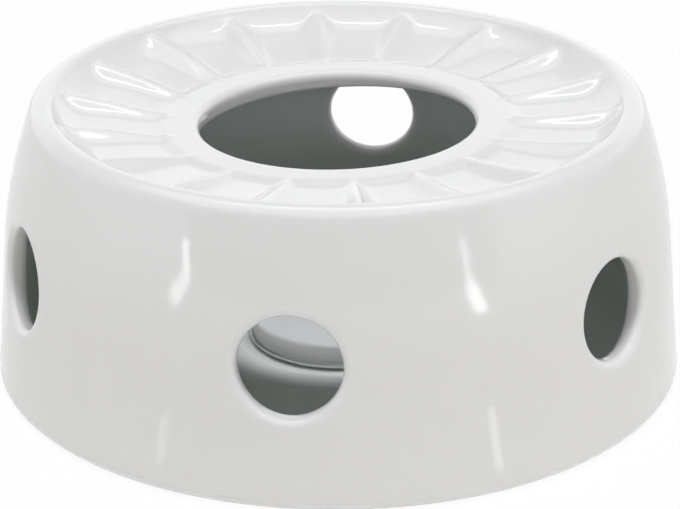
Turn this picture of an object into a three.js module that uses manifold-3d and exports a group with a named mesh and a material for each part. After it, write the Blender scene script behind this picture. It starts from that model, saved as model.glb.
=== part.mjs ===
// Tealight food warmer: a round glazed porcelain stove with six side vents and a ribbed, dished deck,
// with one tealight standing on its floor. Millimetres, +Z up, origin on the table under the middle.
import * as THREE from 'three';
import { mergeVertices } from 'three/addons/utils/BufferGeometryUtils.js';
import Module from 'manifold-3d';

const wasm = await Module();
wasm.setup();

const degrees = THREE.MathUtils.degToRad;
const point = (r, z) => new THREE.Vector2(r, z);

// Porcelain wall
const FOOT_RADIUS = 69.9; // widest radius, just above the table
const FOOT_EDGE = 1.9; // rounding under the foot
const FOOT_LEAN = degrees(5.7); // inward lean of the wall at the foot
const FOOT_PULL = 0.57; // share of the wall that the foot's lean bends
const RIM_HEIGHT = 57; // table to the crest of the rim
const RIM_RADIUS = 58.8; // outer edge of the crest
const RIM_EDGE = 3; // rounding from the crest into the wall
const RIM_LEAN = degrees(18.3); // inward lean of the wall under the rim
const RIM_PULL = 0.4; // share of the wall that the rim's lean bends
const RIM_LAND = 1.5; // flat crest that a dish rests on
const WALL = 4.2; // wall thickness, measured level

// Porcelain floor
const FOOT_RING = 4.5; // width of the ring that stands on the table
const FOOT_RECESS = 1.6; // hollow under the floor
const FLOOR = 3.4; // floor thickness
const FLOOR_FILLET = 5; // floor into wall, inside
const SEAT_DEPTH = 0.9; // shallow well that keeps the tealight in the middle
const SEAT_PLAY = 2.5; // well's edge to the tealight

// Porcelain deck
const DECK_DIP = 5.2; // crest of the rim down to the smooth ring round the mouth
const DECK = 3.5; // deck thickness at the mouth
const DECK_FILLET = 6; // deck into wall, inside
const MOUTH_RADIUS = 27.7; // round opening over the flame
const MOUTH_EDGE = 1.6; // rounding of the mouth
const RING_RADIUS = 34.4; // outer edge of the smooth ring
const PANEL_STEP = 0.6; // ring down to the sunken panels
const PANEL_STEP_RUN = 2.6; // length of that step
const PANEL_SLOPE = degrees(5.6); // panels rise towards the rim
const COVE_RADIUS = 9.5; // panels sweep up into the rim
const COVE_SLOPE = degrees(54); // steepest part of that sweep
const COVE_EDGE = 1.4; // rounding from the sweep onto the crest

// Ribs between the panels
const RIBS = 18;
const RIB_TURN = degrees(-5.3); // first rib from +X
const RIB_ROUND = 1.5; // rounding along the top
const RIB_DRAFT = degrees(48); // flank from upright
const RIB_DROP = 1.1; // crest of the rim down to where a rib runs out on the sweep
const RIB_BURY = 1.2; // how far a rib is rooted in the deck

// Vents through the wall
const VENTS = 6;
const VENT_TURN = degrees(262.2); // first vent from +X
const VENT_HEIGHT = 28; // table to the vent's middle
const VENT_RADIUS = 9.7;
const VENT_EDGE = 1.3; // rounding of the vent, outside and inside
const VENT_SWEEP = degrees(75); // turn of that rounding

// Tealight
const CUP_RADIUS = 19; // clear cup under its lip
const CUP_FOOT = 18.5; // clear cup at its foot
const CUP_HEIGHT = 15.5;
const CUP_SKIN = 0.5; // wall and bottom of the cup
const CUP_CORNER = 1.3; // rounding at the foot
const CUP_LIP = 0.5; // rounding of the thickened lip
const WAX_DIP = 10.3; // cup's edge down to the wax, burnt low
const WAX_DISH = 0.4; // wax lower round the wick
const TAB_RADIUS = 6; // tin disc that holds the wick
const TAB_SHEET = 0.4;
const TAB_COLLAR = 2.6; // height of the crimped collar
const TAB_COLLAR_WALL = 0.5;
const WICK_RADIUS = 0.8;
const WICK_FREE = 8.5; // length above the wax
const WICK_BEND = 1.6; // sideways bend of the free end
const CLEARANCE = 0.3; // gap between pieces that touch

// How finely round shapes are drawn
const FINENESS = 0.12; // widest gap between an arc and the straight steps that draw it
const BODY_SIDES = 60;
const VENT_SIDES = 24;
const CUP_SIDES = 36;
const TAB_SIDES = 16;
const WICK_SIDES = 8;
const WICK_STEPS = 8;
const WALL_STEPS = 8; // outside of the wall
const CHAMBER_STEPS = 4; // inside of the wall
const TRACE_STEPS = 200; // table that gives the wall's radius at a height
const WELD = 1e-4; // points closer than this are one

const GLAZE = new THREE.MeshStandardMaterial({ color: 0xeceeed, roughness: 0.08, metalness: 0 });
const CLEAR = new THREE.MeshStandardMaterial({
  color: 0xe9eeee,
  roughness: 0.06,
  metalness: 0,
  transparent: true,
  opacity: 0.3,
});
const WAX = new THREE.MeshStandardMaterial({ color: 0xf4f1e8, roughness: 0.45, metalness: 0 });
const COTTON = new THREE.MeshStandardMaterial({ color: 0xe9e2d2, roughness: 0.95, metalness: 0 });
const TIN = new THREE.MeshStandardMaterial({ color: 0xb4b6b8, roughness: 0.35, metalness: 1 });

// Heights and radii that several shapes share
const floorTop = FOOT_RECESS + FLOOR;
const seatTop = floorTop - SEAT_DEPTH;
const seatRadius = CUP_RADIUS + CUP_LIP + SEAT_PLAY;
const ringTop = RIM_HEIGHT - DECK_DIP;
const deckUnder = ringTop - DECK;
const landInner = RIM_RADIUS - RIM_LAND;

// Points of an arc in the r, z plane, both ends included
function arc(centreR, centreZ, radius, from, to) {
  const step = 2 * Math.acos(Math.max(1 - FINENESS / radius, 0));
  const steps = Math.max(Math.ceil(Math.abs(to - from) / step), 2);
  return Array.from({ length: steps + 1 }, (_, i) => {
    const angle = from + ((to - from) * i) / steps;
    return point(centreR + radius * Math.cos(angle), centreZ + radius * Math.sin(angle));
  });
}

// Half of the angle between the stretches that meet at a corner
function halfAngle(before, corner, after) {
  const back = before.clone().sub(corner).normalize();
  const ahead = after.clone().sub(corner).normalize();
  return Math.acos(THREE.MathUtils.clamp(back.dot(ahead), -1, 1)) / 2;
}

// Arc in place of a corner, starting and ending at a reach from it
function rounded(before, corner, after, reach) {
  const half = halfAngle(before, corner, after);
  const back = before.clone().sub(corner).normalize();
  const ahead = after.clone().sub(corner).normalize();
  const start = corner.clone().addScaledVector(back, reach);
  const end = corner.clone().addScaledVector(ahead, reach);
  const centre = corner.clone().add(back.add(ahead).setLength(reach / Math.cos(half)));
  const from = Math.atan2(start.y - centre.y, start.x - centre.x);
  const swing = Math.atan2(end.y - centre.y, end.x - centre.x) - from;
  const to = from + swing - 2 * Math.PI * Math.round(swing / (2 * Math.PI));
  return arc(centre.x, centre.y, reach * Math.tan(half), from, to);
}

// Outline through corners given as [r, z] or [r, z, rounding]; its two ends stay sharp, and
// roundings too long for the stretch between them shrink to fit it
function outline(corners) {
  const spots = corners.map(([r, z]) => point(r, z));
  const reaches = corners.map(([, , radius], i) => {
    return radius ? radius / Math.tan(halfAngle(spots[i - 1], spots[i], spots[i + 1])) : 0;
  });
  const fits = spots.slice(1).map((spot, i) => {
    const room = spot.distanceTo(spots[i]) - FINENESS;
    return Math.min(room / (reaches[i] + reaches[i + 1]), 1);
  });
  return spots.flatMap((spot, i) => {
    if (!reaches[i]) return [spot];
    const reach = reaches[i] * Math.min(fits[i - 1], fits[i]);
    return rounded(spots[i - 1], spot, spots[i + 1], reach);
  });
}

// Profile spun round the Z axis; the profile runs anticlockwise in the r, z plane
function spin(profile, sides) {
  return new THREE.LatheGeometry(profile, sides).rotateX(Math.PI / 2);
}

// Rings of equally many points joined into a closed skin with flat ends
function loft(rings) {
  const count = rings[0].length;
  const positions = rings.flat().flatMap((spot) => [spot.x, spot.y, spot.z]);
  const faces = [];
  for (let ring = 0; ring + 1 < rings.length; ring += 1) {
    for (let i = 0; i < count; i += 1) {
      const low = ring * count;
      const next = (i + 1) % count;
      faces.push(low + i, low + next, low + count + i);
      faces.push(low + next, low + count + next, low + count + i);
    }
  }
  const last = (rings.length - 1) * count;
  for (let i = 1; i + 1 < count; i += 1) {
    faces.push(0, i + 1, i);
    faces.push(last, last + i, last + i + 1);
  }
  const geometry = new THREE.BufferGeometry();
  geometry.setAttribute('position', new THREE.Float32BufferAttribute(positions, 3));
  geometry.setIndex(faces);
  return geometry;
}

// Closed geometry as a solid that can be joined and cut
function solid(geometry) {
  const bare = geometry.clone();
  bare.deleteAttribute('normal');
  bare.deleteAttribute('uv');
  const merged = mergeVertices(bare, WELD);
  const index = merged.index.array;
  const triangles = [];
  for (let i = 0; i < index.length; i += 3) {
    const [a, b, c] = index.slice(i, i + 3);
    if (a !== b && b !== c && c !== a) triangles.push(a, b, c);
  }
  const mesh = new wasm.Mesh({
    numProp: 3,
    vertProperties: new Float32Array(merged.attributes.position.array),
    triVerts: new Uint32Array(triangles),
  });
  return new wasm.Manifold(mesh);
}

// Solid back as a geometry
function skin(body) {
  const mesh = body.getMesh();
  const geometry = new THREE.BufferGeometry();
  geometry.setAttribute('position', new THREE.BufferAttribute(mesh.vertProperties, 3));
  geometry.setIndex(new THREE.BufferAttribute(mesh.triVerts, 1));
  geometry.computeVertexNormals();
  return geometry;
}

function piece(name, geometry, material) {
  const mesh = new THREE.Mesh(geometry, material);
  mesh.name = name;
  return mesh;
}

// Outer wall between the rounded foot and the rounded rim
const footArc = arc(FOOT_RADIUS - FOOT_EDGE, FOOT_EDGE, FOOT_EDGE, -Math.PI / 2, FOOT_LEAN);
const rimArc = arc(RIM_RADIUS, RIM_HEIGHT - RIM_EDGE, RIM_EDGE, RIM_LEAN, Math.PI / 2);
const wallFoot = footArc.at(-1);
const wallRim = rimArc[0];
const wallLength = wallFoot.distanceTo(wallRim);
const up = (lean, length) => point(-Math.sin(lean), Math.cos(lean)).multiplyScalar(length);
const wallCurve = new THREE.CubicBezierCurve(
  wallFoot,
  wallFoot.clone().add(up(FOOT_LEAN, FOOT_PULL * wallLength)),
  wallRim.clone().sub(up(RIM_LEAN, RIM_PULL * wallLength)),
  wallRim,
);

// Radius of the outer wall at a height, straight between close points of its curve
const wallTrace = wallCurve.getPoints(TRACE_STEPS);
function wallRadius(z) {
  const above = THREE.MathUtils.clamp(wallTrace.findIndex((spot) => spot.y > z), 1, wallTrace.length - 1);
  const low = wallTrace[above - 1];
  const high = wallTrace[above];
  return THREE.MathUtils.mapLinear(z, low.y, high.y, low.x, high.x);
}

// Dished deck from the crest of the rim down to the smooth ring
function deckOutline() {
  const panelStart = point(RING_RADIUS + PANEL_STEP_RUN, ringTop - PANEL_STEP);
  const rise = Math.tan(PANEL_SLOPE);
  const steep = Math.tan(COVE_SLOPE);
  const run = (RIM_HEIGHT - panelStart.y - steep * (landInner - panelStart.x)) / (rise - steep);
  return outline([
    [RIM_RADIUS, RIM_HEIGHT],
    [landInner, RIM_HEIGHT, COVE_EDGE],
    [panelStart.x + run, panelStart.y + run * rise, COVE_RADIUS],
    [panelStart.x, panelStart.y],
    [RING_RADIUS, ringTop],
    [MOUTH_RADIUS, ringTop, MOUTH_EDGE],
    [MOUTH_RADIUS, deckUnder, MOUTH_EDGE],
    [wallRadius(deckUnder) - WALL, deckUnder],
  ]);
}

// Inside of the wall, from the deck down to the floor, then the tealight's well
function chamberOutline() {
  const inside = (z) => wallRadius(z) - WALL;
  const step = (deckUnder - floorTop) / CHAMBER_STEPS;
  const heights = Array.from({ length: CHAMBER_STEPS - 1 }, (_, i) => deckUnder - (i + 1) * step);
  return outline([
    [MOUTH_RADIUS, deckUnder],
    [inside(deckUnder), deckUnder, DECK_FILLET],
    ...heights.map((z) => [inside(z), z]),
    [inside(floorTop), floorTop, FLOOR_FILLET],
    [seatRadius, floorTop],
    [seatRadius - SEAT_DEPTH, seatTop],
    [0, seatTop],
  ]);
}

// Whole porcelain profile, from the middle of the underside round to the middle of the well
function bodyProfile() {
  const footInner = FOOT_RADIUS - FOOT_EDGE - FOOT_RING;
  const wall = wallCurve.getPoints(WALL_STEPS).slice(1, -1);
  return [
    point(0, FOOT_RECESS),
    point(footInner - FOOT_RECESS, FOOT_RECESS),
    point(footInner, 0),
    ...footArc,
    ...wall,
    ...rimArc,
    ...deckOutline().slice(1, -1),
    ...chamberOutline().slice(1),
  ];
}

// One rib, drafted, growing from the ring to where it runs out on the sweep below the crest
function rib(turn) {
  const out = point(landInner, RIM_HEIGHT - RIB_DROP);
  const slope = (out.y - ringTop) / (out.x - RING_RADIUS);
  const crestAt = (r) => ringTop + slope * (r - RING_RADIUS);
  const panelAt = (r) => ringTop - PANEL_STEP + Math.max(r - RING_RADIUS, 0) * Math.tan(PANEL_SLOPE);
  const rootAt = (r) => panelAt(r) - RIB_BURY;
  const section = (r) => {
    const crest = arc(0, crestAt(r) - RIB_ROUND, RIB_ROUND, RIB_DRAFT, Math.PI - RIB_DRAFT);
    const shoulder = crest[0];
    const half = shoulder.x + (shoulder.y - rootAt(r)) * Math.tan(RIB_DRAFT);
    return [point(-half, rootAt(r)), point(half, rootAt(r)), ...crest].map((spot) => {
      return new THREE.Vector3(r, spot.x, spot.y);
    });
  };
  const inner = (MOUTH_RADIUS + MOUTH_EDGE + RING_RADIUS) / 2;
  return loft([section(inner), section(landInner)]).rotateZ(turn);
}

// Spool that cuts one vent, its rings following the wall so that both edges round evenly
function ventSpool(turn) {
  const clear = WALL + 2 * VENT_EDGE;
  const edge = arc(VENT_RADIUS + VENT_EDGE, -VENT_EDGE, VENT_EDGE, Math.PI, Math.PI - VENT_SWEEP);
  const last = edge.at(-1);
  const flare = point(last.x + VENT_EDGE * Math.tan(VENT_SWEEP), last.y + VENT_EDGE);
  const outside = [...edge, flare, point(flare.x, flare.y + clear)];
  const inside = outside.map((spot) => point(spot.x, -WALL - spot.y)).reverse();
  const rings = [...inside, ...outside].map((spot) => {
    return Array.from({ length: VENT_SIDES }, (_, i) => {
      const angle = (2 * Math.PI * i) / VENT_SIDES;
      const side = spot.x * Math.cos(angle);
      const rise = spot.x * Math.sin(angle);
      const depth = Math.sqrt(wallRadius(VENT_HEIGHT + rise) ** 2 - side ** 2) + spot.y;
      return new THREE.Vector3(depth, side, VENT_HEIGHT + rise);
    });
  });
  return loft(rings).rotateZ(turn);
}

function porcelainBody() {
  let body = solid(spin(bodyProfile(), BODY_SIDES));
  for (let i = 0; i < RIBS; i += 1) {
    body = body.add(solid(rib(RIB_TURN + (2 * Math.PI * i) / RIBS)));
  }
  for (let i = 0; i < VENTS; i += 1) {
    body = body.subtract(solid(ventSpool(VENT_TURN + (2 * Math.PI * i) / VENTS)));
  }
  return skin(body);
}

// Tealight pieces, standing on z = 0 of their own group
const cupSide = (z) => THREE.MathUtils.mapLinear(z, 0, CUP_HEIGHT, CUP_FOOT, CUP_RADIUS);
const waxFoot = CUP_SKIN + CLEARANCE;
const waxTop = CUP_HEIGHT - WAX_DIP;
const tabFoot = CUP_SKIN + CLEARANCE;
const tabBore = WICK_RADIUS + CLEARANCE;
const tabTop = tabFoot + TAB_COLLAR;
const wickMiddle = waxTop - WAX_DISH;

function tealightCup() {
  const lipMiddle = CUP_HEIGHT - CUP_LIP;
  const lip = arc(CUP_RADIUS, lipMiddle, CUP_LIP, -Math.PI / 3, Math.PI);
  const outer = outline([
    [0, 0],
    [CUP_FOOT, 0, CUP_CORNER],
    [cupSide(lipMiddle - CUP_LIP), lipMiddle - CUP_LIP],
  ]);
  const inner = outline([
    [CUP_RADIUS - CUP_LIP, lipMiddle],
    [cupSide(lipMiddle - CUP_LIP) - CUP_SKIN, lipMiddle - CUP_LIP],
    [CUP_FOOT - CUP_SKIN, CUP_SKIN, CUP_CORNER],
    [0, CUP_SKIN],
  ]);
  return spin([...outer, ...lip, ...inner.slice(1)], CUP_SIDES);
}

function tealightWax() {
  const side = (z) => cupSide(z) - CUP_SKIN - CLEARANCE;
  const channel = WICK_RADIUS + CLEARANCE;
  const collarPocket = tabBore + TAB_COLLAR_WALL + CLEARANCE;
  const profile = outline([
    [channel, wickMiddle],
    [channel, tabTop + CLEARANCE],
    [collarPocket, tabTop + CLEARANCE],
    [collarPocket, tabFoot + TAB_SHEET + CLEARANCE],
    [TAB_RADIUS + CLEARANCE, tabFoot + TAB_SHEET + CLEARANCE],
    [TAB_RADIUS + CLEARANCE, waxFoot],
    [side(waxFoot), waxFoot, CUP_CORNER],
    [side(waxTop), waxTop],
    [channel, wickMiddle],
  ]);
  return spin(profile, CUP_SIDES);
}

function wickTab() {
  const collar = tabBore + TAB_COLLAR_WALL;
  const profile = outline([
    [tabBore, tabFoot],
    [TAB_RADIUS, tabFoot],
    [TAB_RADIUS, tabFoot + TAB_SHEET],
    [collar, tabFoot + TAB_SHEET],
    [collar, tabTop],
    [tabBore, tabTop],
    [tabBore, tabFoot],
  ]);
  return spin(profile, TAB_SIDES);
}

function tealightWick() {
  const foot = tabFoot;
  const tip = wickMiddle + WICK_FREE;
  const path = new THREE.CatmullRomCurve3([
    new THREE.Vector3(0, 0, foot),
    new THREE.Vector3(0, 0, tabTop),
    new THREE.Vector3(0, 0, wickMiddle),
    new THREE.Vector3(WICK_BEND / 4, 0, wickMiddle + WICK_FREE / 2),
    new THREE.Vector3(WICK_BEND, 0, tip),
  ]);
  const section = new THREE.Shape().absarc(0, 0, WICK_RADIUS, 0, 2 * Math.PI);
  return new THREE.ExtrudeGeometry(section, {
    steps: WICK_STEPS,
    curveSegments: WICK_SIDES,
    extrudePath: path,
  });
}

const tealight = new THREE.Group();
tealight.position.z = seatTop + CLEARANCE;
tealight.add(
  piece('tealight_cup', tealightCup(), CLEAR),
  piece('tealight_wax', tealightWax(), WAX),
  piece('wick_tab', wickTab(), TIN),
  piece('tealight_wick', tealightWick(), COTTON),
);

const warmer = new THREE.Group();
warmer.add(piece('porcelain_body', porcelainBody(), GLAZE), tealight);

export default warmer;
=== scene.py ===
"""Tealight food warmer: a glazed porcelain stove with six vents and a ribbed deck over one tealight."""
from math import acos, asin, atan2, ceil, cos, hypot, pi, radians, sin, tan

import bmesh
import bpy
from mathutils import Matrix, Vector


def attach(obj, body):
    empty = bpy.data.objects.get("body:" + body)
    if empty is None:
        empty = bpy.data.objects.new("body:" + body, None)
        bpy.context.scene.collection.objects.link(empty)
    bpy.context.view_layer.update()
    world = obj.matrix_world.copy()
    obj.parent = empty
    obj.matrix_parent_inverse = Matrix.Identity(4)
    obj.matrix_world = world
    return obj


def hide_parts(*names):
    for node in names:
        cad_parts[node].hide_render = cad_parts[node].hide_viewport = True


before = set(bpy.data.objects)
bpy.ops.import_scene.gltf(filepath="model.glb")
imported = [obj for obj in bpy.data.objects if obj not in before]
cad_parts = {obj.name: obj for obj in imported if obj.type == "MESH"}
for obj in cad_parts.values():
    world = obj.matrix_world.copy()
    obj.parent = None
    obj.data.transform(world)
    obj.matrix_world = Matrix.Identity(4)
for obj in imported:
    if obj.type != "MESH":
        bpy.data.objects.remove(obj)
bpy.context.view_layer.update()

MM = 0.001
FULL_TURN = 2 * pi

# Porcelain sizes in millimetres, shared with the solids apart from the vents and the finer roundings
FOOT_RADIUS, FOOT_EDGE, FOOT_LEAN, FOOT_PULL = 69.9, 1.9, radians(5.7), 0.57
RIM_HEIGHT, RIM_RADIUS, RIM_EDGE = 57, 58.8, 3
RIM_LEAN, RIM_PULL, RIM_LAND = radians(18.3), 0.4, 1.5
WALL, FLOOR, FLOOR_FILLET = 4.2, 3.4, 5
FOOT_RING, FOOT_RECESS, FOOT_CORNER = 4.5, 1.6, 0.7
SEAT_RADIUS, SEAT_DEPTH, SEAT_EDGE = 22, 0.9, 1.1
DECK_DIP, DECK, DECK_FILLET = 5.2, 3.5, 6
MOUTH_RADIUS, MOUTH_EDGE, LIP_EDGE = 27.7, 1.5, 1.9
RING_RADIUS, PANEL_STEP, PANEL_STEP_RUN, PANEL_SLOPE = 34.4, 0.6, 2.6, radians(5.6)
PANEL_ROUND = 5
COVE_RADIUS, COVE_SLOPE, COVE_EDGE = 9.5, radians(54), 1.6
RIBS, RIB_TURN, RIB_DROP = 18, radians(-5.3), 1.1
RIB_ROUND, RIB_FLANK, RIB_FILLET, RIB_SINK = 0.9, 0.7, 1.1, 0.15
VENTS, VENT_TURN, VENT_HEIGHT = 6, radians(262.2), 27.8
VENT_RADIUS, VENT_EDGE = 9.9, 1.6
# The vent at the back is cut a little smaller, higher and further round than an even sixth
BACK_RADIUS, BACK_HEIGHT, BACK_SWING = 9.2, 29.2, radians(0.9)
# The mouth's lip sags a little to the left and the back, and the ring above it follows by a share
LIP_LEAN, LIP_SAG, RING_SHARE = 0.06, 0.024, 0.4
LIP_NEAR, LIP_FAR = MOUTH_RADIUS + 3, MOUTH_RADIUS + 20
# Plain wall between the vents' stretches and the fillets of floor and deck
FLOOR_ROOM, DECK_ROOM = 1.2, 0.2

# Tealight sizes in millimetres
CUP_RADIUS, CUP_FOOT, CUP_HEIGHT, CUP_SKIN = 19, 18.5, 15.5, 0.5
CUP_CORNER, CUP_LIP = 1.3, 0.5
WAX_DIP, WAX_DISH, WAX_EDGE, WAX_CORNER = 10.3, 0.4, 0.7, 0.6
WAX_LEVEL, WAX_SWEEP = 4, 8
TAB_RADIUS, TAB_SHEET, TAB_COLLAR, TAB_COLLAR_WALL = 6, 0.4, 2.6, 0.5
TAB_EDGE, TAB_FILLET, TAB_CRIMP = 0.15, 0.3, 0.2
WICK_RADIUS, WICK_FREE, WICK_BEND, WICK_TWISTS = 0.8, 8.5, 1.6, 6.0
CLEARANCE = 0.3
# The braid's sway, depth and strand radius as shares of the wick's radius
STRANDS, WICK_SWAY, WICK_DEPTH, WICK_STRAND = 3, 0.45, 0.25, 0.5

# Columns round the body: so many to each rib, the same number to each vent's stretch of wall
RIB_COLUMNS = 20
COLUMNS = RIBS * RIB_COLUMNS
RIB_GATHER = 0.9
CUP_COLUMNS = 96
# Rows of a vent's stretch of wall, closer together towards the vent
SIDE_ROWS, OUTER_ROWS, EDGE_ROWS, BORE_ROWS, INNER_ROWS = 40, 12, 6, 3, 8
ROW_GATHER = 1.6
# Steps of the foot's and the rim's arcs and of the wall between them, and of the wick's path and braid
EDGE_STEPS, WALL_STEPS = 8, 400
WICK_STEPS, BEND_STEPS, BRAID_POINTS, STRAND_SIDES = 8, 12, 72, 8
# Share of a straight stretch that the roundings at its ends may take up
ROUND_ROOM = 0.98
# Distances in metres within which points are joined: in a tree, between meshes and on fine pieces
TREE_WELD, MESH_WELD, FINE_WELD = 2e-6, 3e-6, 1e-7

# Painted shade inside the chamber, a darker green-grey whose green is the thick glaze's own tint: share of
# the wall that stays white, how softly it ends, where it starts round the well outside the floor's lit patch
UNSHADED_SHARE, SHADE_BLUR, LIP_SHADE_BLUR = 0.93, 0.3, 0.4
SHADE_NEAR, SHADE_FAR = 21.5, 27
# Height below which the foot ring is bare clay, and how softly the glaze sets in there
CLAY_TOP, CLAY_BLUR = 0.35, 0.15

# The photograph's camera: width, focal length and shift in pixels, place in metres, angles in degrees
PICTURE_WIDTH, FOCAL_LENGTH, AXIS_SHIFT = 680, 2767.5, 2
CAMERA_PLACE, LOOK_DOWN, CAMERA_ROLL = (0, -0.520, 0.2472), 23.43, -0.25
SENSOR_WIDTH = 36
# Studio, in metres: the height that lamps face, half the floor's side and its drop under the foot
LAMP_AIM, FLOOR_REACH, FLOOR_DROP = 0.03, 3, 0.00002
# How much the soft light fades towards the top, and how much of the floor is plain white in view
DOME_FADE, PLAIN_SHARE = 0.93, 0.93

floor_top = FOOT_RECESS + FLOOR
seat_top = floor_top - SEAT_DEPTH
ring_top = RIM_HEIGHT - DECK_DIP
deck_under = ring_top - DECK
land_inner = RIM_RADIUS - RIM_LAND
chamber_low = floor_top + FLOOR_FILLET + FLOOR_ROOM
chamber_high = deck_under - DECK_FILLET - DECK_ROOM
cup_stand = seat_top + CLEARANCE
# Radii between which the ribs rise out of the smooth ring and run out below the rim
rib_root = RING_RADIUS - 3, RING_RADIUS - 1
rib_end = land_inner - 2, land_inner - 0.3
# Heights below the panels at which the deck's top ends and the lip begins
panel_low = ring_top - PANEL_STEP - 0.5
lip_top = ring_top - PANEL_STEP - 0.3
# Heights between which the painted shade sets in, inside the floor, and the cup's foot clears
floor_shade = floor_top - 2, floor_top - 1
cup_cloud = cup_stand + 0.9, cup_stand + CUP_CORNER + 0.2


class Wire:
    """An output socket of a node tree that adds, subtracts, multiplies and divides like a number."""

    def __init__(self, tree, socket=None):
        self.tree = tree
        self.socket = socket

    def add(self, kind, settings=None, inputs=None, output=0):
        """New node: its settings first, then its sockets' values or links; gives one of its outputs."""
        node = self.tree.nodes.new(kind)
        for name, value in (settings or {}).items():
            setattr(node, name, value)
        for key, value in (inputs or {}).items():
            if isinstance(value, (Wire, list)):
                for wire in value if isinstance(value, list) else [value]:
                    self.tree.links.new(wire.socket, node.inputs[key])
            else:
                node.inputs[key].default_value = value
        return Wire(self.tree, node.outputs[output] if len(node.outputs) else None)

    def other(self, output):
        """Another output of the same node."""
        return Wire(self.tree, self.socket.node.outputs[output])

    def math(self, operation, *others):
        """This value through a Math node, with other values after it."""
        return self.add("ShaderNodeMath", {"operation": operation}, dict(enumerate((self, *others))))

    def __add__(self, other):
        return self.math("ADD", other)

    def __radd__(self, other):
        return self.math("ADD", other)

    def __sub__(self, other):
        return self.math("SUBTRACT", other)

    def __rsub__(self, other):
        return self.add("ShaderNodeMath", {"operation": "SUBTRACT"}, {0: other, 1: self})

    def __mul__(self, other):
        return self.math("MULTIPLY", other)

    def __rmul__(self, other):
        return self.math("MULTIPLY", other)

    def __truediv__(self, other):
        return self.math("DIVIDE", other)

    def __rtruediv__(self, other):
        return self.add("ShaderNodeMath", {"operation": "DIVIDE"}, {0: other, 1: self})


def split(vector):
    """The x, y and z of a vector."""
    x = vector.add("ShaderNodeSeparateXYZ", inputs={"Vector": vector})
    return x, x.other("Y"), x.other("Z")


# Profiles in the r, z plane


def arc(centre, radius, start, end, steps):
    """Points on a circle from one angle to another."""
    turns = [start + (end - start) * i / steps for i in range(steps + 1)]
    return [(centre[0] + radius * cos(a), centre[1] + radius * sin(a)) for a in turns]


def outline(corners, steps, stretch):
    """Line through corners given as (r, z) or (r, z, rounding).

    A rounding has so many steps, and a straight stretch is cut into parts of at most the given length.
    """
    spots = [Vector(corner[:2]) for corner in corners]
    rounds = [corner[2] if len(corner) > 2 else 0 for corner in corners]
    halves, reaches = [], []
    for i, spot in enumerate(spots):
        if not rounds[i]:
            halves.append(0)
            reaches.append(0)
            continue
        back = (spots[i - 1] - spot).normalized()
        ahead = (spots[i + 1] - spot).normalized()
        halves.append(acos(max(-1, min(1, back.dot(ahead)))) / 2)
        reaches.append(rounds[i] / tan(halves[i]))
    points = []
    for i, spot in enumerate(spots):
        if not reaches[i]:
            run = [tuple(spot)]
        else:
            fits = [
                min(1, ROUND_ROOM * (spots[j] - spot).length / (reaches[i] + reaches[j]))
                for j in (i - 1, i + 1)
            ]
            reach = reaches[i] * min(fits)
            back = (spots[i - 1] - spot).normalized()
            ahead = (spots[i + 1] - spot).normalized()
            centre = spot + (back + ahead).normalized() * (reach / cos(halves[i]))
            start = spot + back * reach - centre
            end = spot + ahead * reach - centre
            first = atan2(start.y, start.x)
            swing = atan2(end.y, end.x) - first
            swing -= FULL_TURN * round(swing / FULL_TURN)
            run = arc(centre, reach * tan(halves[i]), first, first + swing, steps)
        if points:
            last = points[-1]
            gap = hypot(run[0][0] - last[0], run[0][1] - last[1])
            parts = max(1, ceil(gap / stretch))
            for k in range(1, parts):
                share = k / parts
                points.append(tuple(a + (b - a) * share for a, b in zip(last, run[0])))
        points += run
    return points


foot_arc = arc((FOOT_RADIUS - FOOT_EDGE, FOOT_EDGE), FOOT_EDGE, -pi / 2, FOOT_LEAN, EDGE_STEPS)
rim_arc = arc((RIM_RADIUS, RIM_HEIGHT - RIM_EDGE), RIM_EDGE, RIM_LEAN, pi / 2, EDGE_STEPS)
wall_low, wall_high = foot_arc[-1][1], rim_arc[0][1]


def wall_trace():
    """Close points up the outer wall, on one smooth curve from the foot to the rim."""
    low, high = Vector(foot_arc[-1]), Vector(rim_arc[0])
    length = (high - low).length
    low_pull = low + Vector((-sin(FOOT_LEAN), cos(FOOT_LEAN))) * FOOT_PULL * length
    high_pull = high - Vector((-sin(RIM_LEAN), cos(RIM_LEAN))) * RIM_PULL * length
    points = []
    for i in range(WALL_STEPS + 1):
        t = i / WALL_STEPS
        u = 1 - t
        points.append(low * u**3 + low_pull * 3 * u * u * t + high_pull * 3 * u * t * t + high * t**3)
    return points


wall_points = wall_trace()


def wall_radius(z):
    """Radius of the outer wall at a height."""
    for low, high in zip(wall_points, wall_points[1:]):
        if z <= high.y:
            break
    return low.x + (high.x - low.x) * (z - low.y) / (high.y - low.y)


def deck_profile():
    """From the outer wall over the rim, down the deck, round the mouth's lip and back under the deck."""
    panel = (RING_RADIUS + PANEL_STEP_RUN, ring_top - PANEL_STEP)
    rise, steep = tan(PANEL_SLOPE), tan(COVE_SLOPE)
    run = (RIM_HEIGHT - panel[1] - steep * (land_inner - panel[0])) / (rise - steep)
    top = outline(
        [
            (RIM_RADIUS, RIM_HEIGHT),
            (land_inner, RIM_HEIGHT, COVE_EDGE),
            (panel[0] + run, panel[1] + run * rise, COVE_RADIUS),
            (panel[0], panel[1], PANEL_ROUND),
            (RING_RADIUS, ring_top, PANEL_ROUND),
            (MOUTH_RADIUS, ring_top, MOUTH_EDGE),
            (MOUTH_RADIUS, deck_under, LIP_EDGE),
            (wall_radius(deck_under) - WALL, deck_under, DECK_FILLET),
            (wall_radius(chamber_high) - WALL, chamber_high),
        ],
        steps=7,
        stretch=1.4,
    )
    return rim_arc + top[1:]


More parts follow.
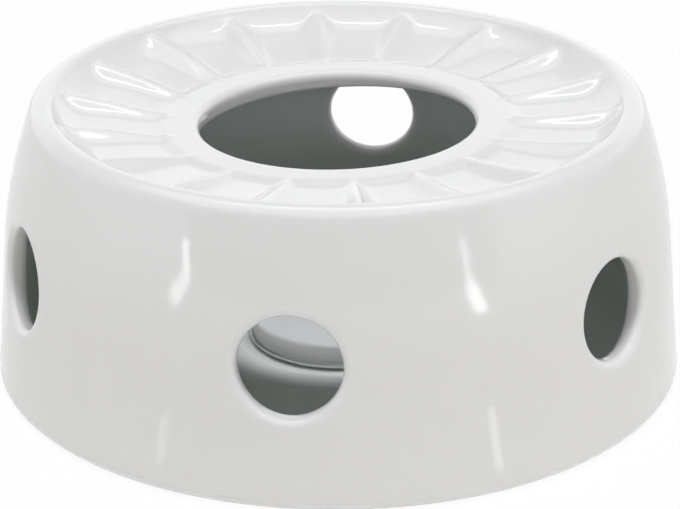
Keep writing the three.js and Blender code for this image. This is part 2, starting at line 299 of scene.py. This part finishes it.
def foot_profile():
    """From the outer wall under the foot ring to the middle of the underside."""
    inner = FOOT_RADIUS - FOOT_EDGE - FOOT_RING
    under = outline(
        [
            (FOOT_RADIUS - FOOT_EDGE, 0),
            (inner, 0, FOOT_CORNER),
            (inner - FOOT_RECESS, FOOT_RECESS, FOOT_CORNER),
            (0, FOOT_RECESS),
        ],
        steps=4,
        stretch=9,
    )
    return foot_arc[::-1] + under[1:]


def floor_profile():
    """From the inner wall over the floor and the tealight's well to the middle."""
    return outline(
        [
            (wall_radius(chamber_low) - WALL, chamber_low),
            (wall_radius(floor_top) - WALL, floor_top, FLOOR_FILLET),
            (SEAT_RADIUS, floor_top, SEAT_EDGE),
            (SEAT_RADIUS - SEAT_DEPTH, seat_top, SEAT_EDGE),
            (0, seat_top),
        ],
        steps=6,
        stretch=6,
    )


# Geometry Nodes


def rule_tree(name, sizes):
    """Tree with a geometry input, named sizes and a material; gives the tree and its wires by name."""
    tree = bpy.data.node_groups.new(name, "GeometryNodeTree")
    tree.interface.new_socket("Geometry", in_out="INPUT", socket_type="NodeSocketGeometry")
    for size, kind in sizes.items():
        tree.interface.new_socket(size, in_out="INPUT", socket_type="NodeSocket" + kind)
    tree.interface.new_socket("Finish", in_out="INPUT", socket_type="NodeSocketMaterial")
    tree.interface.new_socket("Geometry", in_out="OUTPUT", socket_type="NodeSocketGeometry")
    start = tree.nodes.new("NodeGroupInput")
    wires = {socket.name: Wire(tree, socket) for socket in start.outputs if socket.name}
    return tree, wires


def close_tree(wires, shape):
    """Ends a tree: instances made real, close points joined, smooth faces, the finish set."""
    real = shape.add("GeometryNodeRealizeInstances", inputs={"Geometry": shape})
    merged = real.add("GeometryNodeMergeByDistance", inputs={"Geometry": real, "Distance": TREE_WELD})
    smooth = merged.add("GeometryNodeSetShadeSmooth", inputs={"Geometry": merged})
    done = smooth.add("GeometryNodeSetMaterial", inputs={"Geometry": smooth, "Material": wires["Finish"]})
    done.add("NodeGroupOutput", inputs={"Geometry": done})


def grow(name, mesh, tree, values):
    """Mesh that a tree makes from another mesh, with its sizes set by identifier."""
    thing = bpy.data.objects.new(name, mesh)
    bpy.context.scene.collection.objects.link(thing)
    modifier = thing.modifiers.new(name, "NODES")
    modifier.node_group = tree
    for item in tree.interface.items_tree:
        if item.in_out == "INPUT" and item.name in values:
            modifier[item.identifier] = values[item.name]
    bpy.context.view_layer.update()
    seen = thing.evaluated_get(bpy.context.evaluated_depsgraph_get())
    made = bpy.data.meshes.new_from_object(seen)
    bpy.data.objects.remove(thing)
    return made


def spin_tree():
    """Profile spun round the axis, with ribs where it is marked ribbed and a tilt where marked leaning."""
    tree, wires = rule_tree(
        "ribbed_spin",
        {
            "Columns": "Int",
            "Ribs": "Int",
            "Turn": "Float",
            "Gather": "Float",
            "Crest radius": "Float",
            "Crest height": "Float",
            "Crest slope": "Float",
            "Crest round": "Float",
            "Flank": "Float",
            "Fillet": "Float",
            "Lean": "Float",
            "Sag": "Float",
        },
    )
    line = wires["Geometry"]
    rows = line.add("GeometryNodeAttributeDomainSize", inputs={"Geometry": line})
    grid = line.add(
        "GeometryNodeMeshGrid",
        inputs={"Size X": 1.0, "Size Y": 1.0, "Vertices X": wires["Columns"] + 1, "Vertices Y": rows},
    )
    position = line.add("GeometryNodeInputPosition")
    across, along, _ = split(position)
    row_share = (along + 0.5) * (rows - 1)
    row = row_share.math("ROUND")

    def on_line(value, kind):
        """A value at the profile's point for this row."""
        return line.add(
            "GeometryNodeSampleIndex",
            {"data_type": kind},
            {"Geometry": line, "Value": value, "Index": row},
        )

    def mark(name):
        """A named mark of the profile."""
        value = line.add("GeometryNodeInputNamedAttribute", {"data_type": "FLOAT"}, {"Name": name})
        return on_line(value, "FLOAT")

    radius, _, height = split(on_line(position, "FLOAT_VECTOR"))
    ribbed = mark("ribbed")
    sector = (across + 0.5) * wires["Ribs"]
    even = sector * FULL_TURN
    swing = even - ribbed * wires["Gather"] * even.math("SINE")
    angle = wires["Turn"] + swing / wires["Ribs"]
    aside = radius * (swing - sector.math("ROUND") * FULL_TURN) / wires["Ribs"]
    crest = wires["Crest height"] + wires["Crest slope"] * (radius - wires["Crest radius"])
    reach = aside * aside + wires["Crest round"] * wires["Crest round"]
    roof = crest - wires["Flank"] * (reach.math("SQRT") - wires["Crest round"])
    raised = height.math("SMOOTH_MAX", roof, wires["Fillet"])
    x = radius * angle.math("COSINE")
    y = radius * angle.math("SINE")
    tilt = wires["Lean"] * x - wires["Sag"] * y
    z = height + ribbed * (raised - height) + mark("leaning") * tilt
    spun_place = line.add("ShaderNodeCombineXYZ", inputs={"X": x, "Y": y, "Z": z})
    moved = line.add("GeometryNodeSetPosition", inputs={"Geometry": grid, "Position": spun_place})
    close_tree(wires, moved)
    return tree


def repeat_tree():
    """One stretch repeated round the axis, so many times on a full circle's places."""
    tree, wires = rule_tree("round_repeat", {"Copies": "Int", "Places": "Int", "Turn": "Float"})
    one = wires["Geometry"]
    points = one.add("GeometryNodePoints", inputs={"Count": wires["Copies"]})
    index = one.add("GeometryNodeInputIndex")
    angle = wires["Turn"] + index * FULL_TURN / wires["Places"]
    turn = one.add("ShaderNodeCombineXYZ", inputs={"Z": angle})
    copies = one.add(
        "GeometryNodeInstanceOnPoints",
        inputs={"Points": points, "Instance": one, "Rotation": turn},
    )
    close_tree(wires, copies)
    return tree


def braid_tree():
    """Strands that weave round a path, each a thin tube with closed ends."""
    tree, wires = rule_tree(
        "braided_cord",
        {"Points": "Int", "Twists": "Float", "Sway": "Float", "Depth": "Float", "Strand": "Float"},
    )
    line = wires["Geometry"]
    path = line.add("GeometryNodeMeshToCurve", inputs={"Mesh": line})
    fine = line.add("GeometryNodeResampleCurve", inputs={"Curve": path, "Count": wires["Points"]})
    along = line.add("GeometryNodeSplineParameter")
    ring = line.add(
        "GeometryNodeCurvePrimitiveCircle",
        inputs={"Resolution": STRAND_SIDES, "Radius": wires["Strand"]},
    )
    strands = []
    for i in range(STRANDS):
        turn = (along * wires["Twists"] + i / STRANDS) * FULL_TURN
        twice = turn * 2
        sideways = wires["Sway"] * turn.math("SINE")
        deep = wires["Depth"] * twice.math("SINE")
        offset = line.add("ShaderNodeCombineXYZ", inputs={"X": sideways, "Y": deep})
        woven = line.add("GeometryNodeSetPosition", inputs={"Geometry": fine, "Offset": offset})
        strands.append(
            line.add(
                "GeometryNodeCurveToMesh",
                inputs={"Curve": woven, "Profile Curve": ring, "Fill Caps": True},
            )
        )
    close_tree(wires, line.add("GeometryNodeJoinGeometry", inputs={"Geometry": strands}))
    return tree


def line_mesh(name, profile, **marks):
    """Profile as a line of points in metres, with a value at each point for every mark."""
    mesh = bpy.data.meshes.new(name)
    points = [(r * MM, 0, z * MM) for r, z in profile]
    mesh.from_pydata(points, [(i, i + 1) for i in range(len(points) - 1)], [])
    for label in ("ribbed", "leaning"):
        mark = mesh.attributes.new(label, "FLOAT", "POINT")
        for item, (r, z) in zip(mark.data, profile):
            item.value = marks[label](r, z) if label in marks else 0
    return mesh


def ease(low, high, value):
    """0 below low, 1 above high, easing between them."""
    share = max(0, min(1, (value - low) / (high - low)))
    return share * share * (3 - 2 * share)


def deck_mark(r, z):
    """1 on the panels, easing to 0 on the smooth ring and at the rim."""
    if z < panel_low:
        return 0
    return ease(*rib_root, r) * (1 - ease(*rib_end, r))


def lip_mark(r, z):
    """1 at the lower edge of the mouth's lip, less on the ring above it, easing to 0 away from the mouth."""
    low = 1 - ease(deck_under, lip_top, z)
    return (RING_SHARE + (1 - RING_SHARE) * low) * (1 - ease(LIP_NEAR, LIP_FAR, r))


# Porcelain body


def sheet_mesh(name, rows):
    """Mesh of closed rows of points in millimetres, each row joined to the next."""
    count = len(rows[0])
    points = [tuple(c * MM for c in point) for row in rows for point in row]
    faces = []
    for i in range(len(rows) - 1):
        for j in range(count):
            k = (j + 1) % count
            faces.append((i * count + j, i * count + k, (i + 1) * count + k, (i + 1) * count + j))
    mesh = bpy.data.meshes.new(name)
    mesh.from_pydata(points, [], faces)
    return mesh


def vent_stretch(vent_radius, vent_height, swing):
    """Wall for one vent, about +X: outside, over the rounded edge, through the bore and over the inside."""
    half = pi / VENTS
    column = FULL_TURN / COLUMNS
    per_side = COLUMNS // VENTS
    start = RIB_TURN + round((VENT_TURN - half - RIB_TURN) / column) * column
    first = start - VENT_TURN - swing

    def frame_points(low, high):
        """Boundary of the stretch, anticlockwise seen from outside: angle and height."""
        wide = [first + 2 * half * i / per_side for i in range(per_side + 1)]
        tall = [low + (high - low) * i / SIDE_ROWS for i in range(SIDE_ROWS + 1)]
        points = [(a, low) for a in wide[:-1]] + [(wide[-1], z) for z in tall[:-1]]
        points += [(a, high) for a in wide[:0:-1]] + [(wide[0], z) for z in tall[:0:-1]]
        return points

    outer, inner = frame_points(wall_low, wall_high), frame_points(chamber_low, chamber_high)
    rays = [atan2(z - vent_height, wall_radius(vent_height) * sin(a)) for a, z in outer]

    def ring_row(rho, depth):
        """Points round the vent's axis, a depth under the outer face."""
        row = []
        for ray in rays:
            aside, z = rho * cos(ray), vent_height + rho * sin(ray)
            r = wall_radius(z)
            out = (r * r - aside * aside) ** 0.5
            within = ((r - WALL) ** 2 - aside * aside) ** 0.5
            row.append((out + (within - out) * depth / WALL, aside, z))
        return row

    def sheet_row(boundary, share, depth):
        """Points between the boundary and the vent's rounding, on the outer or the inner face."""
        row = []
        rho = vent_radius + VENT_EDGE
        for (edge_angle, edge_z), ray in zip(boundary, rays):
            near_z = vent_height + rho * sin(ray)
            near_angle = asin(rho * cos(ray) / (wall_radius(near_z) - depth))
            angle = edge_angle + (near_angle - edge_angle) * share
            z = edge_z + (near_z - edge_z) * share
            r = wall_radius(z) - depth
            row.append((r * cos(angle), r * sin(angle), z))
        return row

    turns = [pi / 2 * i / EDGE_ROWS for i in range(EDGE_ROWS + 1)]
    edges = [(vent_radius + VENT_EDGE * (1 - sin(a)), VENT_EDGE * (1 - cos(a))) for a in turns]
    bores = [VENT_EDGE + (WALL - 2 * VENT_EDGE) * i / BORE_ROWS for i in range(1, BORE_ROWS)]
    rows = [sheet_row(outer, 1 - (1 - i / OUTER_ROWS) ** ROW_GATHER, 0) for i in range(OUTER_ROWS)]
    rows += [ring_row(rho, depth) for rho, depth in edges]
    rows += [ring_row(vent_radius, depth) for depth in bores]
    rows += [ring_row(rho, WALL - depth) for rho, depth in reversed(edges)]
    rows += [sheet_row(inner, (1 - i / INNER_ROWS) ** ROW_GATHER, WALL) for i in range(1, INNER_ROWS + 1)]
    return sheet_mesh("vent_stretch", rows)


def joined(name, meshes, distance=MESH_WELD):
    """Meshes made one closed mesh with outward faces."""
    work = bmesh.new()
    for mesh in meshes:
        work.from_mesh(mesh)
    bmesh.ops.remove_doubles(work, verts=work.verts, dist=distance)
    bmesh.ops.dissolve_degenerate(work, edges=work.edges, dist=FINE_WELD)
    bmesh.ops.recalc_face_normals(work, faces=work.faces)
    made = bpy.data.meshes.new(name)
    work.to_mesh(made)
    work.free()
    for face in made.polygons:
        face.use_smooth = True
    return made


def place(name, mesh, finish, body, node):
    """Piece at the origin that rides on a body, stands for a node and takes a finish."""
    mesh.materials.clear()
    mesh.materials.append(finish)
    piece = bpy.data.objects.new(name, mesh)
    bpy.context.scene.collection.objects.link(piece)
    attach(piece, body)
    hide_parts(node)


def porcelain(spin, finish):
    """The whole casting: deck, foot and floor spun, the wall's stretches set round the axis."""
    sizes = {
        "Columns": COLUMNS,
        "Ribs": RIBS,
        "Turn": RIB_TURN,
        "Gather": RIB_GATHER,
        "Crest radius": RING_RADIUS * MM,
        "Crest height": (ring_top - RIB_SINK) * MM,
        "Crest slope": (RIM_HEIGHT - RIB_DROP - ring_top) / (land_inner - RING_RADIUS),
        "Crest round": RIB_ROUND * MM,
        "Flank": RIB_FLANK,
        "Fillet": RIB_FILLET * MM,
        "Lean": LIP_LEAN,
        "Sag": LIP_SAG,
        "Finish": finish,
    }
    deck_line = line_mesh("deck_line", deck_profile(), ribbed=deck_mark, leaning=lip_mark)
    deck = grow("deck", deck_line, spin, sizes)
    foot = grow("foot", line_mesh("foot_line", foot_profile()), spin, sizes)
    floor = grow("floor", line_mesh("floor_line", floor_profile()), spin, sizes)
    repeat = repeat_tree()
    back = VENT_TURN + pi
    ring = {"Copies": VENTS - 1, "Places": VENTS, "Turn": back + FULL_TURN / VENTS, "Finish": finish}
    wall = grow("wall", vent_stretch(VENT_RADIUS, VENT_HEIGHT, 0), repeat, ring)
    ring = {"Copies": 1, "Places": VENTS, "Turn": back + BACK_SWING, "Finish": finish}
    back_wall = grow("back_wall", vent_stretch(BACK_RADIUS, BACK_HEIGHT, BACK_SWING), repeat, ring)
    return joined("glazed_body", [deck, foot, floor, wall, back_wall])


# Tealight, drawn from z = 0 and set down in the floor's well

wax_foot = tab_foot = CUP_SKIN + CLEARANCE
wax_top = CUP_HEIGHT - WAX_DIP
wick_middle = wax_top - WAX_DISH
tab_bore = WICK_RADIUS + CLEARANCE
tab_top = tab_foot + TAB_COLLAR


def cup_side(z):
    """Radius of the cup's outside at a height."""
    return CUP_FOOT + (CUP_RADIUS - CUP_FOOT) * z / CUP_HEIGHT


def cup_profile():
    """From the middle of the cup's underside over the lip's bead to the middle of its floor."""
    lip = CUP_HEIGHT - CUP_LIP
    low = lip - CUP_LIP
    outer = outline([(0, 0), (CUP_FOOT, 0, CUP_CORNER), (cup_side(low), low)], steps=6, stretch=3)
    bead = arc((CUP_RADIUS, lip), CUP_LIP, start=-pi / 3, end=pi, steps=10)
    inner = outline(
        [
            (cup_side(low) - CUP_SKIN, low),
            (CUP_FOOT - CUP_SKIN, CUP_SKIN, CUP_CORNER),
            (0, CUP_SKIN),
        ],
        steps=6,
        stretch=3,
    )
    return outer + bead + inner


def wax_profile():
    """Closed section of the cake: a pocket for the tin tab, a channel for the wick, a dished top."""
    gap = CUP_SKIN + CLEARANCE
    pocket = tab_bore + TAB_COLLAR_WALL + CLEARANCE
    sheet_top = tab_foot + TAB_SHEET + CLEARANCE
    return outline(
        [
            (tab_bore, wick_middle),
            (tab_bore, tab_top + CLEARANCE),
            (pocket, tab_top + CLEARANCE),
            (pocket, sheet_top),
            (TAB_RADIUS + CLEARANCE, sheet_top),
            (TAB_RADIUS + CLEARANCE, wax_foot),
            (cup_side(wax_foot) - gap, wax_foot, WAX_CORNER),
            (cup_side(wax_top) - gap, wax_top, WAX_EDGE),
            (tab_bore + WAX_LEVEL, wick_middle, WAX_SWEEP),
            (tab_bore, wick_middle),
        ],
        steps=6,
        stretch=2.5,
    )


def tab_profile():
    """Closed section of the tin disc and its crimped collar."""
    collar = tab_bore + TAB_COLLAR_WALL
    return outline(
        [
            (tab_bore, tab_foot),
            (TAB_RADIUS, tab_foot, TAB_EDGE),
            (TAB_RADIUS, tab_foot + TAB_SHEET, TAB_EDGE),
            (collar, tab_foot + TAB_SHEET, TAB_FILLET),
            (collar, tab_top, TAB_CRIMP),
            (tab_bore, tab_top, TAB_CRIMP),
            (tab_bore, tab_foot),
        ],
        steps=4,
        stretch=2,
    )


def wick_path():
    """Straight up through the wax, then bending aside."""
    points = [(0, tab_foot + (wick_middle - tab_foot) * i / WICK_STEPS) for i in range(WICK_STEPS)]
    for i in range(BEND_STEPS + 1):
        share = i / BEND_STEPS
        points.append((WICK_BEND * share * share, wick_middle + WICK_FREE * share))
    return points


def set_down(profile):
    """A profile of the tealight at its place in the well."""
    return [(r, z + cup_stand) for r, z in profile]


def spun(name, profile, spin, finish):
    """Smooth round piece of the tealight."""
    sizes = {"Columns": CUP_COLUMNS, "Ribs": 1, "Finish": finish}
    made = grow(name, line_mesh(name + "_line", set_down(profile)), spin, sizes)
    return joined(name, [made])


def wick(finish):
    """Braid of thin strands along the wick's path."""
    sizes = {
        "Points": BRAID_POINTS,
        "Twists": WICK_TWISTS,
        "Sway": WICK_SWAY * WICK_RADIUS * MM,
        "Depth": WICK_DEPTH * WICK_RADIUS * MM,
        "Strand": WICK_STRAND * WICK_RADIUS * MM,
        "Finish": finish,
    }
    made = grow("braided_wick", line_mesh("wick_line", set_down(wick_path())), braid_tree(), sizes)
    return joined("braided_wick", [made], FINE_WELD)


# Finishes


def new_finish(name):
    """New empty material and a wire to start from."""
    material = bpy.data.materials.new(name)
    material.use_nodes = True
    material.node_tree.nodes.clear()
    return material, Wire(material.node_tree)


def object_spot(wire):
    """Object coordinates, in metres."""
    return wire.add("ShaderNodeTexCoord", output="Object")


def close_finish(shader):
    """Ends a material with its shader."""
    shader.add("ShaderNodeOutputMaterial", inputs={"Surface": shader})


def smooth_step(wire, low, high):
    """0 below low, 1 above high, easing between them."""
    return wire.add(
        "ShaderNodeMapRange",
        {"interpolation_type": "SMOOTHSTEP"},
        {"Value": wire, "From Min": low, "From Max": high},
    )


def blend(wire, share, first, second):
    """Colour between two colours; the node's colour sockets are inputs 6 and 7 and output 2."""
    return wire.add("ShaderNodeMix", {"data_type": "RGBA"}, {"Factor": share, 6: first, 7: second}, output=2)


def noise(spot, scale, detail=2.0):
    """Soft random patches."""
    return spot.add("ShaderNodeTexNoise", inputs={"Vector": spot, "Scale": scale, "Detail": detail})


def shade_and_clay_masks(spot):
    """Where painted shade darkens the chamber's inside (greener where the glaze lies thick), kept off the
    floor's lit patch, and where the foot ring is bare.
    """
    x, y, z = split(spot)
    squared = x * x + y * y
    radius = squared.math("SQRT")
    # The wall's inside as a cone through two heights
    low, high = 10, 40
    lean = (wall_radius(high) - wall_radius(low)) / (high - low)
    cone_foot = (wall_radius(low) - low * lean - WALL * UNSHADED_SHARE) * MM
    within = smooth_step(cone_foot + z * lean - radius, -SHADE_BLUR * MM, SHADE_BLUR * MM)
    over_floor = smooth_step(z, floor_shade[0] * MM, floor_shade[1] * MM)
    tilt = (1 - smooth_step(radius, LIP_NEAR * MM, LIP_FAR * MM)) * (LIP_LEAN * x - LIP_SAG * y)
    lip_low = (deck_under + LIP_SHADE_BLUR) * MM
    under_deck = smooth_step(lip_low + tilt - z, -LIP_SHADE_BLUR * MM, LIP_SHADE_BLUR * MM)
    # The painted shade stops short of the floor's patch lit through the mouth
    past_lit_patch = smooth_step(radius, SHADE_NEAR * MM, SHADE_FAR * MM)
    bare = smooth_step(CLAY_TOP * MM - z, -CLAY_BLUR * MM, CLAY_BLUR * MM)
    return within * over_floor * under_deck * past_lit_patch, bare


def glaze():
    """White glaze, darker green-grey inside the chamber as painted shade (greener where the glaze lies
    thick), and bare clay under the foot ring.
    """
    material, wire = new_finish("porcelain_glaze")
    spot = object_spot(wire)
    inside, bare = shade_and_clay_masks(spot)
    broad = noise(spot, scale=24.0)
    fine = noise(spot, scale=420.0)
    white = blend(wire, broad, (0.735, 0.74, 0.735, 1), (0.76, 0.762, 0.755, 1))
    # Painted shade: darker green-grey for the chamber's inside, greener where the glaze lies thick
    painted_shade_tint = blend(wire, broad, (0.46, 0.51, 0.475, 1), (0.52, 0.57, 0.535, 1))
    clay = blend(wire, fine, (0.66, 0.63, 0.57, 1), (0.74, 0.71, 0.65, 1))
    wave = wire.add("ShaderNodeBump", inputs={"Strength": 0.5, "Distance": 0.0008, "Height": broad})
    peel = wire.add(
        "ShaderNodeBump",
        inputs={"Strength": 0.04, "Distance": 0.0004, "Height": fine, "Normal": wave},
    )
    shader = wire.add(
        "ShaderNodeBsdfPrincipled",
        inputs={
            "Base Color": blend(wire, bare, blend(wire, inside, white, painted_shade_tint), clay),
            "Roughness": 0.07 + 0.05 * fine + 0.35 * inside + 0.6 * bare,
            "Normal": peel,
            "IOR": 1.5,
        },
    )
    close_finish(shader)
    return material


def clear_plastic():
    """Thin clear moulding with faint flow marks, cloudy where it is thick at the foot and the lip."""
    material, wire = new_finish("clear_moulding")
    spot = object_spot(wire)
    _, _, z = split(spot)
    flow = noise(spot, scale=120.0, detail=3.0)
    cup_top = cup_stand + CUP_HEIGHT
    foot = 1 - smooth_step(z, cup_cloud[0] * MM, cup_cloud[1] * MM)
    lip = smooth_step(z, (cup_top - 3 * CUP_LIP) * MM, (cup_top - CUP_LIP) * MM)
    shader = wire.add(
        "ShaderNodeBsdfPrincipled",
        inputs={
            "Base Color": blend(wire, flow, (0.90, 0.93, 0.93, 1), (0.95, 0.96, 0.96, 1)),
            "Roughness": 0.05 + 0.06 * flow,
            "Alpha": 0.07 + 0.06 * flow + 0.75 * foot + 0.35 * lip,
            "IOR": 1.5,
        },
    )
    close_finish(shader)
    return material


def paraffin():
    """White wax with pale crystal patches, lit through from the top."""
    material, wire = new_finish("white_paraffin")
    spot = object_spot(wire)
    flakes = wire.add("ShaderNodeTexVoronoi", inputs={"Vector": spot, "Scale": 340.0})
    cloud = noise(spot, scale=150.0, detail=3.0)
    mottle = 0.6 * cloud + 0.4 * flakes
    grain = wire.add("ShaderNodeBump", inputs={"Strength": 0.15, "Distance": 0.0003, "Height": mottle})
    shader = wire.add(
        "ShaderNodeBsdfPrincipled",
        inputs={
            "Base Color": blend(wire, mottle, (0.92, 0.925, 0.915, 1), (0.965, 0.967, 0.955, 1)),
            "Roughness": 0.32 + 0.2 * cloud,
            "Normal": grain,
            "IOR": 1.43,
            "Subsurface Weight": 1.0,
            "Subsurface Radius": (1.0, 0.95, 0.88),
            "Subsurface Scale": 0.005,
        },
    )
    close_finish(shader)
    return material


def cotton():
    """Waxed yarn with fine fibres."""
    material, wire = new_finish("waxed_cotton")
    spot = object_spot(wire)
    fibre = noise(spot, scale=2600.0, detail=3.0)
    nap = wire.add("ShaderNodeBump", inputs={"Strength": 0.5, "Distance": 0.0001, "Height": fibre})
    shader = wire.add(
        "ShaderNodeBsdfPrincipled",
        inputs={
            "Base Color": blend(wire, fibre, (0.70, 0.66, 0.57, 1), (0.88, 0.85, 0.77, 1)),
            "Roughness": 0.75 + 0.2 * fibre,
            "Normal": nap,
        },
    )
    close_finish(shader)
    return material


def tinplate():
    """Stamped sheet with fine rolling marks and dull patches."""
    material, wire = new_finish("plain_tinplate")
    spot = object_spot(wire)
    stretched = wire.add("ShaderNodeMapping", inputs={"Vector": spot, "Scale": (1, 24, 1)})
    rolled = noise(stretched, scale=240.0, detail=3.0)
    dull = noise(spot, scale=300.0)
    marks = wire.add("ShaderNodeBump", inputs={"Strength": 0.2, "Distance": 0.0001, "Height": rolled})
    shader = wire.add(
        "ShaderNodeBsdfPrincipled",
        inputs={
            "Base Color": blend(wire, dull, (0.60, 0.61, 0.62, 1), (0.74, 0.75, 0.76, 1)),
            "Metallic": 1.0,
            "Roughness": 0.22 + 0.2 * rolled + 0.1 * dull,
            "Normal": marks,
        },
    )
    close_finish(shader)
    return material


# Camera, light and floor


def camera():
    """Camera at the photograph's place, with its lens."""
    data = bpy.data.cameras.new("camera")
    data.sensor_width = SENSOR_WIDTH
    data.lens = SENSOR_WIDTH * FOCAL_LENGTH / PICTURE_WIDTH
    data.shift_x = AXIS_SHIFT / PICTURE_WIDTH
    view = bpy.data.objects.new("camera", data)
    view.location = CAMERA_PLACE
    pitch, roll = radians(90 - LOOK_DOWN), radians(CAMERA_ROLL)
    view.rotation_euler = (Matrix.Rotation(pitch, 3, "X") @ Matrix.Rotation(roll, 3, "Z")).to_euler()
    bpy.context.scene.collection.objects.link(view)
    bpy.context.scene.camera = view


def lamp(
    name, azimuth, elevation, distance, size, power, colour=(1, 1, 1), turn=0, lights=True, mirrored=True
):
    """Soft rectangular lamp that faces the warmer's middle; azimuth 0 is the viewer's side."""
    data = bpy.data.lights.new(name, "AREA")
    data.shape = "RECTANGLE"
    data.size, data.size_y = size
    data.energy = power
    data.color = colour
    light = bpy.data.objects.new(name, data)
    a, e = radians(azimuth), radians(elevation)
    away = Vector((sin(a) * cos(e), -cos(a) * cos(e), sin(e)))
    light.location = away * distance + Vector((0, 0, LAMP_AIM))
    facing = away.to_track_quat("Z", "Y").to_matrix() @ Matrix.Rotation(radians(turn), 3, "Z")
    light.rotation_euler = facing.to_euler()
    light.visible_camera = False
    light.visible_diffuse = lights
    light.visible_glossy = mirrored
    bpy.context.scene.collection.objects.link(light)


def lamps():
    """Lamps by azimuth and elevation in degrees, distance and size in metres and power in watts."""
    lamp("key", 0, 85, 2, (0.3, 0.3), 24.8, (0.95, 0.965, 1), mirrored=False)
    lamp("side_box", 70, 18, 1.2, (0.5, 0.4), 0.6, (1, 0.985, 0.965), mirrored=False)
    lamp("back_bar", 180, 74, 1.4, (0.84, 0.13), 1.9, lights=False)
    # Thin lamps that the glaze mirrors as the wall's two bright streaks
    lamp("left_strip", -43.9, 7.5, 0.2, (0.006, 0.023), 0.0035, turn=20)
    lamp("left_strip_foot", -44.9, 1.4, 0.2, (0.013, 0.024), 0.0049, turn=-33.5)
    lamp("right_strip", 36.6, 8, 0.2, (0.006, 0.028), 0.0024, turn=3)
    lamp("right_strip_foot", 38.3, 0.6, 0.2, (0.0125, 0.027), 0.0082, turn=23)
    lamp("left_strip_low", -33.6, -16.3, 0.0854, (0.0025, 0.0095), 0.0001, lights=False)
    lamp("right_strip_low", 29.4, -15.7, 0.0852, (0.0025, 0.0115), 0.0002, lights=False)


def ray_kinds(wire):
    """Whether a ray comes from the camera, from a mirror or through a clear piece."""
    rays = wire.add("ShaderNodeLightPath")
    return [rays.other(kind) for kind in ("Is Camera Ray", "Is Glossy Ray", "Is Transmission Ray")]


def surroundings():
    """Even soft light; the glaze mirrors white walls with a dim gap on the viewer's side."""
    world = bpy.data.worlds.new("studio")
    bpy.context.scene.world = world
    world.use_nodes = True
    world.node_tree.nodes.clear()
    wire = Wire(world.node_tree)
    x, y, z = split(wire.add("ShaderNodeTexCoord", output="Generated"))
    turn = x.math("ARCTAN2", 0 - y)
    aside = turn.math("ABSOLUTE")

    def past(low, high):
        """0 to 1 between two angles from the viewer's side, in degrees."""
        return smooth_step(aside, radians(low), radians(high))

    def over(low, high):
        """0 to 1 between two angles above the horizon, in degrees."""
        return smooth_step(z, sin(radians(low)), sin(radians(high)))

    beside, above, ceiling = past(50, 58), over(14, 26), over(42, 58)
    walls = above.math("MAXIMUM", past(115, 150))
    panels = beside * (1 - past(85, 150)) * (1 - above)
    behind = smooth_step(y, 0.2, 0.6) * (1 - over(22, 34))
    mirror = 0.3 + 0.3 * beside + 0.6 * panels + 0.4 * walls + 0.45 * behind + 1.5 * ceiling
    dome = 1 - DOME_FADE * z.math("MAXIMUM", 0)
    soft = wire.add("ShaderNodeBackground", inputs={"Color": (1, 0.975, 0.955, 1), "Strength": dome})
    white = wire.add("ShaderNodeBackground", inputs={"Color": (1, 1, 1, 1), "Strength": 1.0})
    room = wire.add("ShaderNodeBackground", inputs={"Color": (0.97, 0.985, 1, 1), "Strength": mirror})
    camera_ray, mirrored, through = ray_kinds(wire)
    seen = camera_ray.math("MAXIMUM", through)
    direct = wire.add("ShaderNodeMixShader", inputs={0: seen, 1: soft, 2: white})
    both = wire.add("ShaderNodeMixShader", inputs={0: mirrored, 1: direct, 2: room})
    both.add("ShaderNodeOutputWorld", inputs={"Surface": both})


def studio_floor():
    """White floor that is plain white in view and keeps the warmer's shadow."""
    mesh = bpy.data.meshes.new("studio_floor")
    corners = [(-1, -1), (1, -1), (1, 1), (-1, 1)]
    points = [(x * FLOOR_REACH, y * FLOOR_REACH, -FLOOR_DROP) for x, y in corners]
    mesh.from_pydata(points, [], [(0, 1, 2, 3)])
    thing = bpy.data.objects.new("studio_floor", mesh)
    bpy.context.scene.collection.objects.link(thing)
    material, wire = new_finish("studio_white")
    matt = wire.add("ShaderNodeBsdfDiffuse", inputs={"Color": (0.9, 0.882, 0.862, 1)})
    plain = wire.add("ShaderNodeEmission", inputs={"Color": (1, 1, 1, 1), "Strength": 1.0})
    camera_ray, mirrored, through = ray_kinds(wire)
    share = PLAIN_SHARE * camera_ray.math("MAXIMUM", mirrored.math("MAXIMUM", through))
    close_finish(wire.add("ShaderNodeMixShader", inputs={0: share, 1: matt, 2: plain}))
    mesh.materials.append(material)


bpy.context.scene.view_settings.view_transform = "Standard"
camera()
lamps()
surroundings()
studio_floor()

white_glaze, yarn = glaze(), cotton()
spin = spin_tree()
place("glazed_body", porcelain(spin, white_glaze), white_glaze, "warmer", "porcelain_body")
for name, profile, finish, slot, node in (
    ("clear_cup", cup_profile(), clear_plastic(), "clear_cup", "tealight_cup"),
    ("wax_cake", wax_profile(), paraffin(), "wax", "tealight_wax"),
    ("tin_tab", tab_profile(), tinplate(), "tin", "wick_tab"),
):
    place(name, spun(name, profile, spin, finish), finish, "tealight", node)
place("braided_wick", wick(yarn), yarn, "tealight", "tealight_wick")
